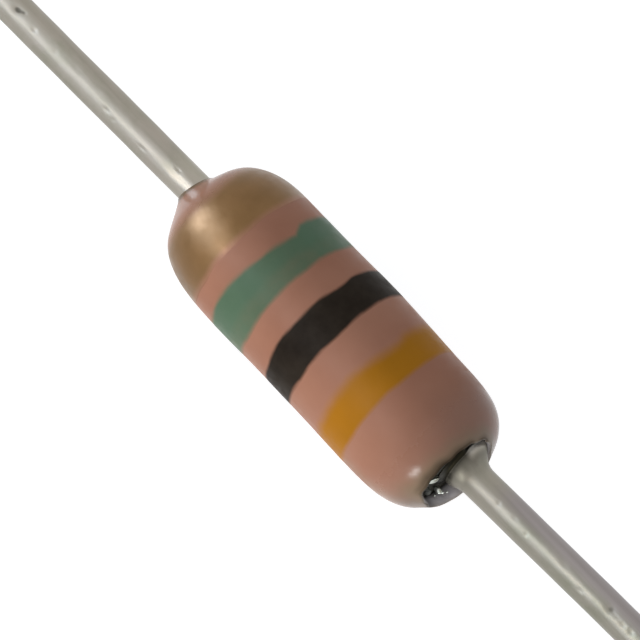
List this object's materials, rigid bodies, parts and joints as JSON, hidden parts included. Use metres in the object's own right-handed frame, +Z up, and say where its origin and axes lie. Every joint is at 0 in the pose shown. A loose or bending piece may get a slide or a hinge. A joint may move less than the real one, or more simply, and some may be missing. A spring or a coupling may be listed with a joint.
{
  "type": "axial resistor",
  "caption": "Small axial film resistor: a round-ended lacquered body with colour bands and a straight wire lead at each end.",
  "frame": {"origin": "middle of the lacquered body", "axes": "+X along the body towards the end where the lacquer stays open on the cap, +Z up with the body lying as in the picture"},
  "size_m": [0.062, 0.0027, 0.0024],
  "materials": {
    "ceramic": "unglazed fired ceramic",
    "film": "fired resistive film",
    "cap_steel": "pressed and tinned",
    "tinned_wire": "dull tinned wire with draw lines",
    "pink_lacquer": "dipped lacquer, satin",
    "gold_paint": "metallic paint",
    "green_paint": "satin paint",
    "black_paint": "satin paint",
    "yellow_paint": "satin paint"
  },
  "bodies": {
    "root": {"ceramic_core": "ceramic", "resistive_film": "film", "end_cap_left": "cap_steel", "end_cap_right": "cap_steel", "lead_left": "tinned_wire", "lead_right": "tinned_wire", "coating": "pink_lacquer", "band_gold": "gold_paint", "band_green": "green_paint", "band_black": "black_paint", "band_yellow": "yellow_paint"}
  },
  "joints": []
}
